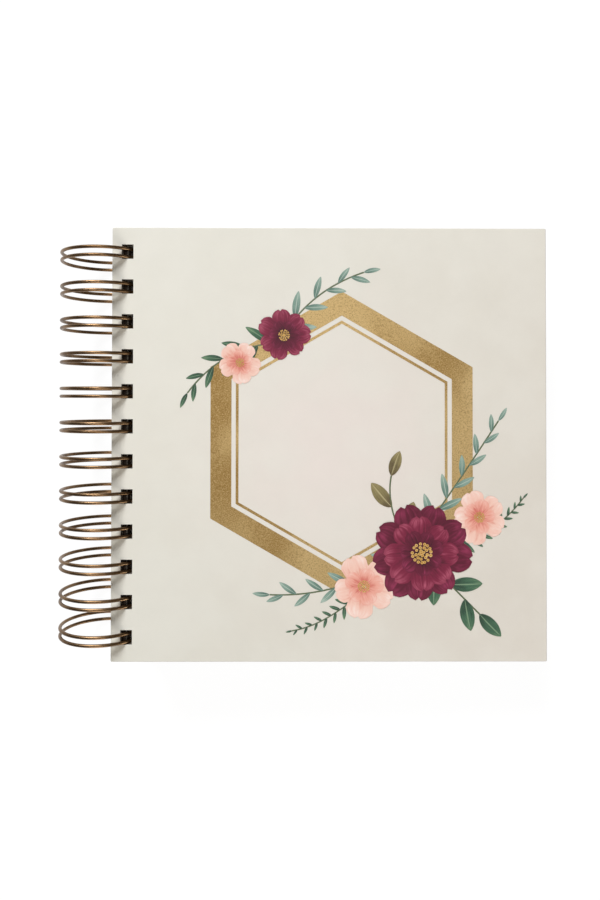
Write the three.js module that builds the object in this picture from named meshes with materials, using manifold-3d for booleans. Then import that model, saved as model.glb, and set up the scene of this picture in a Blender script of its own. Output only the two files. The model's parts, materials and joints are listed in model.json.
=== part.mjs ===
// A square indexed notebook with hard covers and a twin-loop wire binding, in millimetres, +Z up.
// Every leaf and cover hangs on the wire by a row of punched holes and turns about the axis of its ring.
import * as THREE from "three";
import { mergeVertices } from "three/addons/utils/BufferGeometryUtils.js";
import Module from "manifold-3d";

const wasm = await Module();
wasm.setup();

// Covers: greyboard in a printed cover paper that is turned in on the inner side, under an end paper
const coverWidth = 158; // spine edge to fore-edge
const coverHeight = 157.4; // head to tail
const coverCorner = 0.5; // corner radius of a wrapped cover
const boardThickness = 1.2;
const wrapPaper = 0.2;
const linerPaper = 0.2;
const glueLine = 0.1; // between the glued layers of a cover
const turnIn = 15; // width of the paper folded in round the board
const linerInset = 3; // border of turn-in left bare round the end paper

// Leaves: each section is a tabbed divider with a group of ruled leaves behind it
const sectionCount = 8;
const dividerCard = 0.35;
const leavesThickness = 1.53;
const leafGap = 0.1; // between a divider and the leaves behind it
const turnGap = 0.25; // between neighbours that turn separately
const headOverhang = 3; // cover past the leaves at head and tail
const foreOverhang = 3.3; // cover past the tabs
const tabReach = 9; // how far a tab stands out of the leaves
const tabCorner = 2.5;
const tabEndMargin = 4; // leaf edge left free at each end of the row of tabs

// Binding: one wire bent into hairpin fingers, closed to a ring, two loops to an inch in pairs
const wireDiameter = 1.25;
const loopPitch = 12.7;
const endMargin = 8; // least distance from head or tail to the middle of the end hole
const legSpacing = 2.9; // between the two legs of a finger
const ringRise = 3.9; // of the wire's centreline above the covers
const rootCorner = 1.2; // bend between a leg and its bar
const noseGap = 0.85; // from a finger's tip to the line of bars that it closes on
const endStub = 2.2; // wire left beyond the last corner at each end
const wireDrop = 0.35; // the wire sits low in its holes, towards the tail
const wireClearance = 0.15; // round the wire in every hole
const tailClearance = 0.18; // between the lowered wire and the tail end of its hole
const seamClearance = 0.25; // above and below the bars, between the last leaf and the back cover
const coverHoleMargin = 3.55; // from a cover's spine edge to its holes
const leafHoleMargin = 3.3;

// Facets of the wire: a regular section with flats on its inner and outer side
const wireSides = 6;
const legSteps = 24;
const noseSteps = 4;
const cornerSteps = 2;
const wireFlat = (wireDiameter / 2) * Math.cos(Math.PI / wireSides);

// As many loops as the spine has room for, each in a hole that takes both its legs
const loopCount = Math.floor((coverHeight - 2 * endMargin) / loopPitch) + 1;
const holeHeight = legSpacing + wireDiameter + 2 * (wireDrop + tailClearance);

// Heights in the book's own frame, whose origin is on the axis of the ring
const coverThickness = 2 * wrapPaper + boardThickness + linerPaper + 3 * glueLine;
const sectionThickness = dividerCard + leafGap + leavesThickness;
const sectionPitch = sectionThickness + turnGap;
const seamGap = wireDiameter + 2 * seamClearance;
const innerSpace = turnGap + sectionCount * sectionPitch - turnGap + seamGap;
const coverInner = innerSpace / 2;
const coverOuter = coverInner + coverThickness;
const ringRadius = coverOuter + ringRise;

// A hole clears the wire where it crosses the two faces of a cover, and every leaf has the same punch.
// The leaves lie against the outside of the ring, so its bulge pushes those in the middle outwards.
const insideWire = (ringRadius - wireFlat) * Math.cos(Math.PI / legSteps) - wireClearance;
const outsideWire = ringRadius + wireFlat + wireClearance;
const acrossAt = (radius, height) => Math.sqrt(radius ** 2 - height ** 2);
const coverHoleX = acrossAt(insideWire, coverOuter);
const holeWidth = acrossAt(outsideWire, coverInner) - coverHoleX;
const coverSpineX = coverHoleX - coverHoleMargin;
const coverForeX = coverSpineX + coverWidth;
const leafHoleAt = (nearest) => acrossAt(outsideWire, nearest) - holeWidth;
const leafWidth = coverForeX - foreOverhang - tabReach - (leafHoleAt(0) - leafHoleMargin);
const leafHeight = coverHeight - 2 * headOverhang;
const tabLength = (leafHeight - 2 * tabEndMargin) / sectionCount;

const paper = { color: 0xf4f1e8, roughness: 0.92, metalness: 0 };
const material = (options) => new THREE.MeshStandardMaterial(options);
const coverPaper = material({ color: 0xe3dccf, roughness: 0.62, metalness: 0 });
const linerMaterial = material({ ...paper, color: 0xefeae0 });
const greyboard = material({ color: 0x8f8a80, roughness: 0.95, metalness: 0 });
const dividerMaterial = material({ ...paper, color: 0xe9dccb, roughness: 0.8 });
const leafMaterial = material(paper);
const bronze = material({ color: 0x7a5a3a, roughness: 0.34, metalness: 1 });

// A geometry as a manifold-3d solid, and back
function solidOf(geometry) {
  const bare = geometry.clone();
  bare.deleteAttribute("normal");
  bare.deleteAttribute("uv");
  const merged = mergeVertices(bare, 1e-4);
  return new wasm.Manifold(
    new wasm.Mesh({
      numProp: 3,
      vertProperties: merged.attributes.position.array,
      triVerts: new Uint32Array(merged.index.array),
    }),
  );
}

function geometryOf(solid) {
  const mesh = solid.getMesh();
  const geometry = new THREE.BufferGeometry();
  geometry.setAttribute("position", new THREE.BufferAttribute(mesh.vertProperties, 3));
  geometry.setIndex(new THREE.BufferAttribute(mesh.triVerts, 1));
  geometry.computeVertexNormals();
  return geometry;
}

// A rectangle from x0 to x1, centred on y = 0, with square or round corners
function rectangle(x0, x1, height, radius = 0) {
  const half = height / 2;
  const shape = new THREE.Shape();
  if (radius === 0) {
    shape.moveTo(x0, -half);
    shape.lineTo(x1, -half);
    shape.lineTo(x1, half);
    shape.lineTo(x0, half);
    return shape.closePath();
  }
  const quarter = Math.PI / 2;
  shape.absarc(x1 - radius, radius - half, radius, -quarter, 0, false);
  shape.absarc(x1 - radius, half - radius, radius, 0, quarter, false);
  shape.absarc(x0 + radius, half - radius, radius, quarter, 2 * quarter, false);
  shape.absarc(x0 + radius, radius - half, radius, 2 * quarter, 3 * quarter, false);
  return shape.closePath();
}

function plate(shape, thickness, bottom = 0) {
  const geometry = new THREE.ExtrudeGeometry(shape, {
    depth: thickness,
    bevelEnabled: false,
    curveSegments: 4,
  });
  return geometry.translate(0, 0, bottom);
}

const loopY = (index) => (index - (loopCount - 1) / 2) * loopPitch;
const loops = Array.from({ length: loopCount }, (_, index) => loopY(index));

// The row of punched holes, as paths to cut out of a shape
function holePaths(holeX) {
  return loops.map((y) => {
    const path = new THREE.Path();
    path.moveTo(holeX, y - holeHeight / 2);
    path.lineTo(holeX, y + holeHeight / 2);
    path.lineTo(holeX + holeWidth, y + holeHeight / 2);
    path.lineTo(holeX + holeWidth, y - holeHeight / 2);
    return path.closePath();
  });
}

function punched(shape, holeX) {
  shape.holes.push(...holePaths(holeX));
  return shape;
}

// One cover, inner face towards z = 0: its paper, board and end paper, as three geometries
function coverLayers() {
  const wrapInner = coverInner + linerPaper + glueLine;
  const boardInner = wrapInner + wrapPaper + glueLine;
  const outline = (inset, corner) =>
    rectangle(coverSpineX + inset, coverForeX - inset, coverHeight - 2 * inset, corner);
  const skin = plate(
    punched(outline(0, coverCorner), coverHoleX),
    coverOuter - wrapInner,
    wrapInner,
  );
  const pocket = plate(
    outline(wrapPaper, coverCorner - wrapPaper),
    boardThickness + 2 * glueLine,
    wrapInner + wrapPaper,
  );
  const window = plate(outline(turnIn), wrapPaper + glueLine, wrapInner - glueLine / 2);
  const wrap = solidOf(skin).subtract(solidOf(pocket)).subtract(solidOf(window));
  const boardInset = wrapPaper + glueLine;
  return {
    wrap: geometryOf(wrap),
    board: plate(
      punched(outline(boardInset, coverCorner - boardInset), coverHoleX),
      boardThickness,
      boardInner,
    ),
    liner: plate(punched(outline(linerInset), coverHoleX), linerPaper, coverInner),
  };
}

// The least height above or below the ring's axis, in a layer from bottom to top
function nearestHeight(bottom, top) {
  return bottom < 0 && top > 0 ? 0 : Math.min(Math.abs(bottom), Math.abs(top));
}

function leavesGeometry(bottom, holeX) {
  const spineX = holeX - leafHoleMargin;
  const shape = rectangle(spineX, spineX + leafWidth, leafHeight);
  return plate(punched(shape, holeX), leavesThickness, bottom);
}

// A divider has the leaf's outline with a round-cornered tab on its fore-edge, first tab at the head
function dividerGeometry(index, bottom, holeX) {
  const spineX = holeX - leafHoleMargin;
  const foreX = spineX + leafWidth;
  const half = leafHeight / 2;
  const tabTop = half - tabEndMargin - index * tabLength;
  const tabBottom = tabTop - tabLength;
  const tipX = foreX + tabReach;
  const shape = new THREE.Shape();
  shape.moveTo(spineX, -half);
  shape.lineTo(foreX, -half);
  shape.lineTo(foreX, tabBottom);
  shape.absarc(tipX - tabCorner, tabBottom + tabCorner, tabCorner, -Math.PI / 2, 0, false);
  shape.absarc(tipX - tabCorner, tabTop - tabCorner, tabCorner, 0, Math.PI / 2, false);
  shape.lineTo(foreX, tabTop);
  shape.lineTo(foreX, half);
  shape.lineTo(spineX, half);
  shape.closePath();
  return plate(punched(shape, holeX), dividerCard, bottom);
}

// The wire's route on the unrolled ring: s runs round the ring from the line of bars, y along the spine
function wireRoute() {
  const route = [];
  const half = legSpacing / 2;
  const noseEnd = 2 * Math.PI * ringRadius - noseGap;
  const legEnd = noseEnd - half;
  const arc = (s, y, radius, from, to, steps) => {
    for (let i = 0; i <= steps; i++) {
      const angle = from + ((to - from) * i) / steps;
      route.push([s + radius * Math.cos(angle), y + radius * Math.sin(angle)]);
    }
  };
  route.push([0, loops[0] - half - rootCorner - endStub]);
  for (const y of loops) {
    const low = y - half;
    const high = y + half;
    arc(rootCorner, low - rootCorner, rootCorner, Math.PI, Math.PI / 2, cornerSteps);
    for (let i = 1; i < legSteps; i++) {
      route.push([rootCorner + ((legEnd - rootCorner) * i) / legSteps, low]);
    }
    arc(legEnd, y, half, -Math.PI / 2, Math.PI / 2, noseSteps);
    for (let i = legSteps - 1; i > 0; i--) {
      route.push([rootCorner + ((legEnd - rootCorner) * i) / legSteps, high]);
    }
    arc(rootCorner, high + rootCorner, rootCorner, -Math.PI / 2, -Math.PI, cornerSteps);
  }
  route.push([0, loops[loopCount - 1] + half + rootCorner + endStub]);
  return route;
}

// The bars lie in the seam, just above the back cover
const barHeight = -coverInner + seamClearance + wireDiameter / 2;
const barAngle = Math.asin(barHeight / ringRadius);
const onRing = (s, y, lift = 0) => {
  const angle = barAngle + s / ringRadius;
  const radius = ringRadius + lift;
  return new THREE.Vector3(radius * Math.cos(angle), y, radius * Math.sin(angle));
};

// A tube along the route. Each section stands square to the wire, with one axis along the ring's radius.
function wireGeometry(route) {
  const centres = route.map(([s, y]) => onRing(s, y - wireDrop));
  const last = centres.length - 1;
  const positions = [];
  centres.forEach((centre, i) => {
    const [s, y] = route[i];
    const outward = onRing(s, y, 1).sub(onRing(s, y));
    const arriving = centres[i].clone().sub(centres[Math.max(i - 1, 0)]).normalize();
    const leaving = centres[Math.min(i + 1, last)].clone().sub(centres[i]).normalize();
    const along = arriving.add(leaving).normalize();
    const across = outward.clone().cross(along).normalize();
    const mitre = i > 0 && i < last ? 1 / Math.max(along.dot(leaving), 0.5) : 1;
    for (let k = 0; k < wireSides; k++) {
      const angle = ((k + 0.5) / wireSides) * 2 * Math.PI + Math.PI / 2;
      const out = (wireDiameter / 2) * Math.sin(angle);
      const side = (wireDiameter / 2) * Math.cos(angle) * (Math.abs(across.y) < 0.5 ? mitre : 1);
      const point = centre.clone().addScaledVector(outward, out).addScaledVector(across, side);
      positions.push(point.x, point.y, point.z);
    }
  });
  const faces = [];
  for (let i = 0; i < last; i++) {
    for (let k = 0; k < wireSides; k++) {
      const a = i * wireSides + k;
      const b = i * wireSides + ((k + 1) % wireSides);
      faces.push(a, b, a + wireSides, b, b + wireSides, a + wireSides);
    }
  }
  for (let k = 1; k < wireSides - 1; k++) {
    faces.push(0, k + 1, k);
    const end = last * wireSides;
    faces.push(end, end + k, end + k + 1);
  }
  const geometry = new THREE.BufferGeometry();
  geometry.setAttribute("position", new THREE.Float32BufferAttribute(positions, 3));
  geometry.setIndex(faces);
  geometry.computeVertexNormals();
  return geometry;
}

// The least free gap between two turns of the wire that aren't neighbours along it
function leastWireGap(route) {
  const points = [];
  route.forEach(([s, y], i) => {
    const [s0, y0] = route[Math.max(i - 1, 0)];
    const parts = 4;
    for (let k = 1; k <= parts; k++) {
      points.push(onRing(s0 + ((s - s0) * k) / parts, y0 + ((y - y0) * k) / parts));
    }
  });
  let length = 0;
  const run = points.map((p, i) => (length += i ? p.distanceTo(points[i - 1]) : 0));
  let least = Infinity;
  points.forEach((p, i) => {
    for (let j = i + 1; j < points.length; j++) {
      const apart = p.distanceTo(points[j]);
      if (run[j] - run[i] > 6 * wireDiameter) least = Math.min(least, apart - wireDiameter);
    }
  });
  return least;
}

function named(name, geometry, itsMaterial) {
  const mesh = new THREE.Mesh(geometry, itsMaterial);
  mesh.name = name;
  return mesh;
}

// The closed book lies on its lowest loops and on the fore-edge of its back cover, so it leans a little
const ringOuter = ringRadius + wireDiameter / 2;
const lean =
  Math.asin(ringOuter / Math.hypot(coverForeX, coverOuter)) - Math.atan2(coverOuter, coverForeX);

const book = new THREE.Group();
book.rotation.y = lean;

const layers = coverLayers();
for (const side of ["front", "back"]) {
  const cover = new THREE.Group();
  cover.rotation.x = side === "back" ? Math.PI : 0;
  cover.add(named(`${side}_cover_paper`, layers.wrap, coverPaper));
  cover.add(named(`${side}_cover_board`, layers.board, greyboard));
  cover.add(named(`${side}_cover_liner`, layers.liner, linerMaterial));
  book.add(cover);
}

for (let index = 0; index < sectionCount; index++) {
  const top = coverInner - turnGap - index * sectionPitch;
  const dividerBottom = top - dividerCard;
  const leavesBottom = top - sectionThickness;
  const holeX = leafHoleAt(nearestHeight(leavesBottom, top));
  const number = index + 1;
  const divider = dividerGeometry(index, dividerBottom, holeX);
  book.add(named(`divider_${number}`, divider, dividerMaterial));
  const leaves = leavesGeometry(leavesBottom, holeX);
  book.add(named(`leaves_${number}`, leaves, leafMaterial));
}

const route = wireRoute();
book.add(named("twin_loop_wire", wireGeometry(route), bronze));
console.log("least gap between turns of the wire, mm:", leastWireGap(route).toFixed(2));

// The origin is under the middle of the notebook, on the surface that it lies on
const notebook = new THREE.Group();
notebook.add(book);
notebook.updateMatrixWorld(true);
const extent = new THREE.Box3().setFromObject(notebook, true);
const middle = extent.getCenter(new THREE.Vector3());
book.position.set(-middle.x, 0, -extent.min.z);
notebook.updateMatrixWorld(true);
console.log("ring axis, mm:", book.position.toArray().map((v) => v.toFixed(4)).join(" "));
console.log("lean, degrees:", THREE.MathUtils.radToDeg(lean).toFixed(4));

export default notebook;
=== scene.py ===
import json
import math

import bmesh
import bpy
import numpy as np
from mathutils import Matrix, Vector


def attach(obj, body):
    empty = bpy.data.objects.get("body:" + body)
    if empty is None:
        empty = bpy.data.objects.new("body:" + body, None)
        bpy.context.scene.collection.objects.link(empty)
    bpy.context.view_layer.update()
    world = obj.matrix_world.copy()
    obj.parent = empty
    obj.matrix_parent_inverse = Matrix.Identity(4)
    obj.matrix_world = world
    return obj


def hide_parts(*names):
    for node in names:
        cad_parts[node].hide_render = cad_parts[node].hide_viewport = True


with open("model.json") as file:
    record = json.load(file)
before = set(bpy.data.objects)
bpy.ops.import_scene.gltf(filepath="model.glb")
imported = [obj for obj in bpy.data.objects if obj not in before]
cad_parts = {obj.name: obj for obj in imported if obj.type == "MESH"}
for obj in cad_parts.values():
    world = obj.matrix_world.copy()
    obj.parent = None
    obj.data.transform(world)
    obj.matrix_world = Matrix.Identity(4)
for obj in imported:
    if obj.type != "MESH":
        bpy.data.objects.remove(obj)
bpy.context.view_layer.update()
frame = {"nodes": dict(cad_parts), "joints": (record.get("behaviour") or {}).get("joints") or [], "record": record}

# Cover boards. Two punched sheets of solid board, pressed from recycled paper, dull and dark brown
# with darker and lighter fibres. They show only in the walls of the punched holes.


def colour(red, green, blue):
    """A colour as a screen shows it, from 0 to 255, in the linear values that shaders take."""
    shares = [part / 255 for part in (red, green, blue)]
    linear = [s / 12.92 if s <= 0.04045 else ((s + 0.055) / 1.055) ** 2.4 for s in shares]
    return (*linear, 1.0)


def add(tree, kind, values=None, **settings):
    """A node with its settings, and with its inputs set or linked."""
    made = tree.nodes.new(kind)
    for key, value in settings.items():
        setattr(made, key, value)
    for key, value in (values or {}).items():
        if isinstance(value, bpy.types.NodeSocket):
            tree.links.new(value, made.inputs[key])
        else:
            made.inputs[key].default_value = value
    return made


def reckon(tree, operation, first, second=0.0, third=0.0):
    """A Math node's result."""
    values = {0: first, 1: second, 2: third}
    return add(tree, "ShaderNodeMath", values, operation=operation).outputs[0]


def times(tree, first, second):
    return reckon(tree, "MULTIPLY", first, second)


def tint(tree, amount, under, over, blend_type="MIX"):
    """One colour laid over another."""
    values = {0: amount, 6: under, 7: over}
    settings = {"data_type": "RGBA", "blend_type": blend_type}
    return add(tree, "ShaderNodeMix", values, **settings).outputs[2]


def spread(tree, value, low, high, out_low=0.0, out_high=1.0):
    """A value moved from one range to another, with soft ends."""
    values = {0: value, 1: low, 2: high, 3: out_low, 4: out_high}
    return add(tree, "ShaderNodeMapRange", values, interpolation_type="SMOOTHSTEP").outputs[0]


def noise(tree, place, scale, detail, **more):
    """Clouds of values from 0 to 1."""
    values = {"Vector": place, "Scale": scale, "Detail": detail}
    values |= {key.title(): value for key, value in more.items()}
    return add(tree, "ShaderNodeTexNoise", values).outputs[0]


def relief(tree, shader, height, depth, strength=1.0):
    """Raises a surface's fine texture, to a depth in metres."""
    values = {"Height": height, "Distance": depth, "Strength": strength}
    tree.links.new(add(tree, "ShaderNodeBump", values).outputs[0], shader.inputs["Normal"])


def new_group(kind, name, outputs, **inputs):
    """An empty shader or geometry group, with the kinds of its outputs and inputs by name."""
    group = bpy.data.node_groups.new(name, f"{kind}NodeTree")
    for way, sockets in (("INPUT", inputs), ("OUTPUT", outputs)):
        for label, sort in sockets.items():
            group.interface.new_socket(label, in_out=way, socket_type=f"NodeSocket{sort}")
    given, out = group.nodes.new("NodeGroupInput"), group.nodes.new("NodeGroupOutput")
    return group, given.outputs, out.inputs


def paper_fibre_effect():
    """Pulp and fibres: clouds of tone, and short fibres that lie mostly one way."""
    effect, given, out = new_group(
        "Shader", "paper_fibre", {"Shade": "Float", "Height": "Float"},
        Place="Vector", Fibre="Float", Contrast="Float",
    )
    place, fibre, contrast = given[:3]
    fine = reckon(effect, "DIVIDE", 1.0, fibre)
    lengthwise = add(effect, "ShaderNodeMapping", {"Vector": place, "Scale": (0.35, 1.0, 1.0)})
    fibres = noise(effect, lengthwise.outputs[0], fine, 6.0, roughness=0.62)
    clouds = noise(effect, place, times(effect, fine, 0.06), 3.0)
    both = reckon(effect, "MULTIPLY_ADD", fibres, 0.6, clouds)
    level = reckon(effect, "SUBTRACT", both, 0.8)
    shade = reckon(effect, "MULTIPLY_ADD", level, contrast, 1.0)
    effect.links.new(shade, out["Shade"])
    effect.links.new(fibres, out["Height"])
    return effect


paper_fibre = paper_fibre_effect()


def new_finish(name, roughness=0.5, metallic=0.0):
    """A material with its shader, and its owner's coordinates in metres."""
    material = bpy.data.materials.new(name)
    material.use_nodes = True
    tree = material.node_tree
    shader = tree.nodes["Principled BSDF"]
    shader.inputs["Roughness"].default_value = roughness
    shader.inputs["Metallic"].default_value = metallic
    place = add(tree, "ShaderNodeTexCoord").outputs["Object"]
    return material, tree, shader, place


def fibred(tree, shader, place, base, fibre, contrast, depth):
    """Gives a paper or card its colour, shaded and roughened by its fibres."""
    values = {"Place": place, "Fibre": fibre, "Contrast": contrast}
    pulp = add(tree, "ShaderNodeGroup", values, node_tree=paper_fibre).outputs
    shade = tint(tree, 1.0, base, pulp["Shade"], "MULTIPLY")
    tree.links.new(shade, shader.inputs["Base Color"])
    relief(tree, shader, pulp["Height"], depth)


def dress(owner, material):
    """Gives a piece or a CAD node one material in all its slots."""
    mesh = owner.data
    if not mesh.materials:
        mesh.materials.append(material)
    for number in range(len(mesh.materials)):
        mesh.materials[number] = material


def greyboard_finish():
    material, tree, shader, place = new_finish("greyboard", roughness=0.93)
    specks = add(tree, "ShaderNodeTexVoronoi", {"Vector": place, "Scale": 1400.0})
    dark = spread(tree, specks.outputs["Distance"], 0.05, 0.2, 0.35, 0.0)
    board = tint(tree, dark, colour(74, 63, 53), colour(48, 40, 33))
    fibred(tree, shader, place, board, fibre=0.0007, contrast=0.5, depth=0.00004)
    return material


greyboard = greyboard_finish()
for side in ("front", "back"):
    dress(frame["nodes"][f"{side}_cover_board"], greyboard)

# Cover papers. Each board is wrapped in printed paper with a matt film on it, turned in over all
# four edges and punched with the board. The print is a cream wash, warmer in the middle of the
# cover and greener towards the tail. It darkens to the corner of the tail and the fore-edge,
# partly in the print and partly as painted light falloff, and its edges there carry painted shade.

# The book's own frame, in millimetres: its origin lies on the axis of the rings, +X runs to the
# fore-edge along the covers, +Y to the head and +Z out of the front cover. The whole book leans a
# little, because it lies on its rings and on the fore-edge of its back cover.
MILLIMETRE = 0.001
ring_axis = Vector(frame["joints"][0]["pos_m"])
mounts = {mount["name"]: mount for mount in frame["record"]["mounts"]}
front_normal = mounts["front_cover_face"]["axis"]
lean = math.atan2(front_normal[0], front_normal[2])
book_frame = (
    Matrix.Translation(ring_axis) @ Matrix.Rotation(lean, 4, "Y") @ Matrix.Scale(MILLIMETRE, 4)
)


def book_points(node):
    """The corners of a CAD node, in the book's frame."""
    vertices = frame["nodes"][node].data.vertices
    points = np.empty(len(vertices) * 3, dtype=np.float32)
    vertices.foreach_get("co", points)
    to_book = np.array(book_frame.inverted())
    return points.reshape(-1, 3) @ to_book[:3, :3].T + to_book[:3, 3]


def book_box(node):
    points = book_points(node)
    return points.min(0).tolist(), points.max(0).tolist()


def punched_holes(node):
    """The columns and rows of a node's holes: its corners that lie within its outline."""
    reach = 9.0
    clear = 1.5
    same_line = 0.05
    low, high = book_box(node)
    points = book_points(node)
    near = points[(points[:, 0] > low[0] + clear) & (points[:, 0] < low[0] + reach)]
    near = near[(near[:, 1] > low[1] + clear) & (near[:, 1] < high[1] - clear)]
    columns = (float(near[:, 0].min()), float(near[:, 0].max()))
    inside = near[np.abs(near[:, 0] - columns[0]) < same_line]
    lines = sorted(set(np.round(inside[:, 1], 2).tolist()))
    return columns, list(zip(lines[0::2], lines[1::2]))


def in_scene(name, data):
    """A new object in the scene."""
    made = bpy.data.objects.new(name, data)
    bpy.context.scene.collection.objects.link(made)
    return made


def new_piece(name, mesh, body, slot, *replaced):
    """A finished piece from a mesh in the book's frame."""
    mesh.transform(book_frame)
    mesh.name = name
    piece = in_scene(name, mesh)
    if replaced:
        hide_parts(*replaced)
    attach(piece, body)
    return piece


def evaluated(maker):
    """The plain mesh that an object shows. The object itself goes."""
    graph = bpy.context.evaluated_depsgraph_get()
    mesh = bpy.data.meshes.new_from_object(maker.evaluated_get(graph), depsgraph=graph)
    bpy.data.objects.remove(maker)
    return mesh


def mesh_from(name, bm):
    mesh = bpy.data.meshes.new(name)
    bm.to_mesh(mesh)
    bm.free()
    return mesh


def built(mesh, kind, inputs=None, **settings):
    """The plain mesh that one modifier makes of a mesh."""
    maker = in_scene("maker", mesh)
    modifier = maker.modifiers.new(kind, kind)
    for key, value in settings.items():
        setattr(modifier, key, value)
    for key, value in (inputs or {}).items():
        modifier[modifier.node_group.interface.items_tree[key].identifier] = value
    return evaluated(maker)


def grid_layer(bm, columns, rows, height, is_open, facing):
    """A layer of quads between lines along X and Y, without the cells that are open."""
    corners = [[bm.verts.new((x, y, height)) for y in rows] for x in columns]
    for i in range(len(columns) - 1):
        for j in range(len(rows) - 1):
            if not is_open((columns[i] + columns[i + 1]) / 2, (rows[j] + rows[j + 1]) / 2):
                ring = [corners[i][j], corners[i + 1][j], corners[i + 1][j + 1], corners[i][j + 1]]
                bm.faces.new(ring if facing > 0 else ring[::-1])
    return corners


def in_holes(holes):
    """Tells whether a point lies in one of the punched holes."""
    (left, right), spans = holes
    return lambda x, y: left < x < right and any(low < y < high for low, high in spans)


paper_thickness = 0.2
turn_in = 15.0
corner_radius = 0.5
edge_radius = 0.3
corner_segments = 5
edge_segments = 3
sharp_over = math.radians(50)


def wrapped_cover_mesh(node):
    """The paper round a board: outer face, edges and turned-in border, open in the middle."""
    low, high = book_box(node)
    holes = punched_holes(node)
    punched = in_holes(holes)
    left, right = low[0] + corner_radius, high[0] - corner_radius
    tail, head = low[1] + corner_radius, high[1] - corner_radius
    columns = [left, *holes[0], low[0] + turn_in, high[0] - turn_in, right]
    edges = [edge for span in holes[1] for edge in span]
    rows = sorted([tail, head, low[1] + turn_in, high[1] - turn_in, *edges])

    def bare(x, y):
        across = columns[3] < x < columns[4]
        along = low[1] + turn_in < y < high[1] - turn_in
        return punched(x, y) or (across and along)

    bm = bmesh.new()
    outer = grid_layer(bm, columns, rows, high[2], punched, 1)
    inner = grid_layer(bm, columns, rows, low[2], bare, -1)

    # Round the flat layers, anticlockwise from the tail edge, with a fan of directions at corners
    quarter = math.pi / 2
    last_column = len(columns) - 1
    last_row = len(rows) - 1
    sides = [
        [(i, 0) for i in range(last_column + 1)],
        [(last_column, j) for j in range(last_row + 1)],
        [(i, last_row) for i in range(last_column, -1, -1)],
        [(0, j) for j in range(last_row, -1, -1)],
    ]
    around = []
    for turn, side in enumerate(sides):
        facing = quarter * (turn - 1)
        around += [(place, facing) for place in side]
        fan = [facing + quarter * step / corner_segments for step in range(1, corner_segments)]
        around += [(side[-1], direction) for direction in fan]

    # The edge in section, from the outer face to the turned-in border: distance out and height
    flat = corner_radius - edge_radius
    bend = [quarter * step / edge_segments for step in range(edge_segments + 1)]
    section = [
        (flat + edge_radius * math.sin(a), high[2] - edge_radius * (1 - math.cos(a))) for a in bend
    ]
    section += [(out, low[2] + high[2] - z) for out, z in reversed(section)]
    strips = []
    for (i, j), facing in around:
        points = [
            (columns[i] + out * math.cos(facing), rows[j] + out * math.sin(facing), z)
            for out, z in section
        ]
        strips.append([outer[i][j], *(bm.verts.new(point) for point in points), inner[i][j]])
    for here, there in zip(strips, strips[1:] + strips[:1]):
        for k in range(len(here) - 1):
            ring = [here[k], here[k + 1], there[k + 1], there[k]]
            bm.faces.new(list(dict.fromkeys(ring)))
    loose = [v for v in bm.verts if not v.link_faces]
    bmesh.ops.delete(bm, geom=loose, context="VERTS")
    skin = mesh_from(node, bm)
    walled = built(skin, "SOLIDIFY", thickness=paper_thickness, offset=-1, use_even_offset=True)

    # Soft shading over the rounded edges, with the flat faces kept flat
    walled.shade_smooth()
    walled.set_sharp_from_angle(angle=sharp_over)
    return built(walled, "WEIGHTED_NORMAL", mode="FACE_AREA", weight=100, keep_sharp=True)


front_low, front_high = book_box("front_cover_paper")
cover_middle = Vector(((front_low[0] + front_high[0]) / 2, 0, front_high[2]))
cover_half = (front_high[0] - front_low[0]) / 2


def axes_of(tree, vector):
    """A vector's parts, named X, Y and Z."""
    return add(tree, "ShaderNodeSeparateXYZ", {"Vector": vector}).outputs


def cover_paper_finish():
    """A cream and buff wash mottled with chalk, and painted shade on the fore-edge and tail edges."""
    cream, buff, rosy = colour(229, 226, 214), colour(219, 212, 200), colour(234, 222, 215)
    greenish, chalk, edge_shade_tone = colour(218, 217, 205), colour(237, 234, 225), colour(166, 161, 153)
    material, tree, shader, place = new_finish("cover_paper", roughness=0.5)
    centre = book_frame @ cover_middle
    scale = 1 / (cover_half * MILLIMETRE)
    shift = (-centre.x * scale, -centre.y * scale, 0)
    on_cover = add(
        tree, "ShaderNodeMapping", {"Vector": place, "Location": shift, "Scale": (scale,) * 3}
    ).outputs[0]
    axes = axes_of(tree, on_cover)
    wander = noise(tree, on_cover, 1.3, 5.0, roughness=0.55, distortion=0.6)
    blots = noise(tree, on_cover, 4.0, 7.0)
    # Darker towards the tail and fore-edge corner: partly print, partly painted light falloff.
    downhill = reckon(tree, "SUBTRACT", axes["X"], axes["Y"])
    uneven = reckon(tree, "MULTIPLY_ADD", wander, 1.3, downhill)
    wash = tint(tree, spread(tree, uneven, -1.4, 2.6), cream, buff)
    away = add(tree, "ShaderNodeVectorMath", {0: on_cover}, operation="LENGTH").outputs["Value"]
    warm = spread(tree, reckon(tree, "MULTIPLY_ADD", blots, 0.6, away), 1.2, 0.3, 0.0, 0.8)
    wash = tint(tree, warm, wash, rosy)
    tailward = reckon(tree, "SUBTRACT", times(tree, axes["X"], -0.5), axes["Y"])
    green = spread(tree, reckon(tree, "MULTIPLY_ADD", blots, 0.8, tailward), 0.7, 1.9, 0.0, 0.6)
    wash = tint(tree, green, wash, greenish)
    wash = tint(tree, spread(tree, blots, 0.38, 0.64, 0.0, 0.16), wash, chalk)
    # Painted shade on the rounded edges that face the fore-edge and the tail.
    facing = axes_of(tree, add(tree, "ShaderNodeTexCoord").outputs["Normal"])
    edge_shade = reckon(tree, "MAXIMUM", facing["X"], times(tree, facing["Y"], -1.0))
    wash = tint(tree, spread(tree, edge_shade, 0.15, 0.7, 0.0, 0.8), wash, edge_shade_tone)
    fibred(tree, shader, place, wash, fibre=0.0005, contrast=0.05, depth=0.000006)
    sheen = spread(tree, blots, 0.3, 0.7, 0.46, 0.56)
    tree.links.new(sheen, shader.inputs["Roughness"])
    return material


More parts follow.
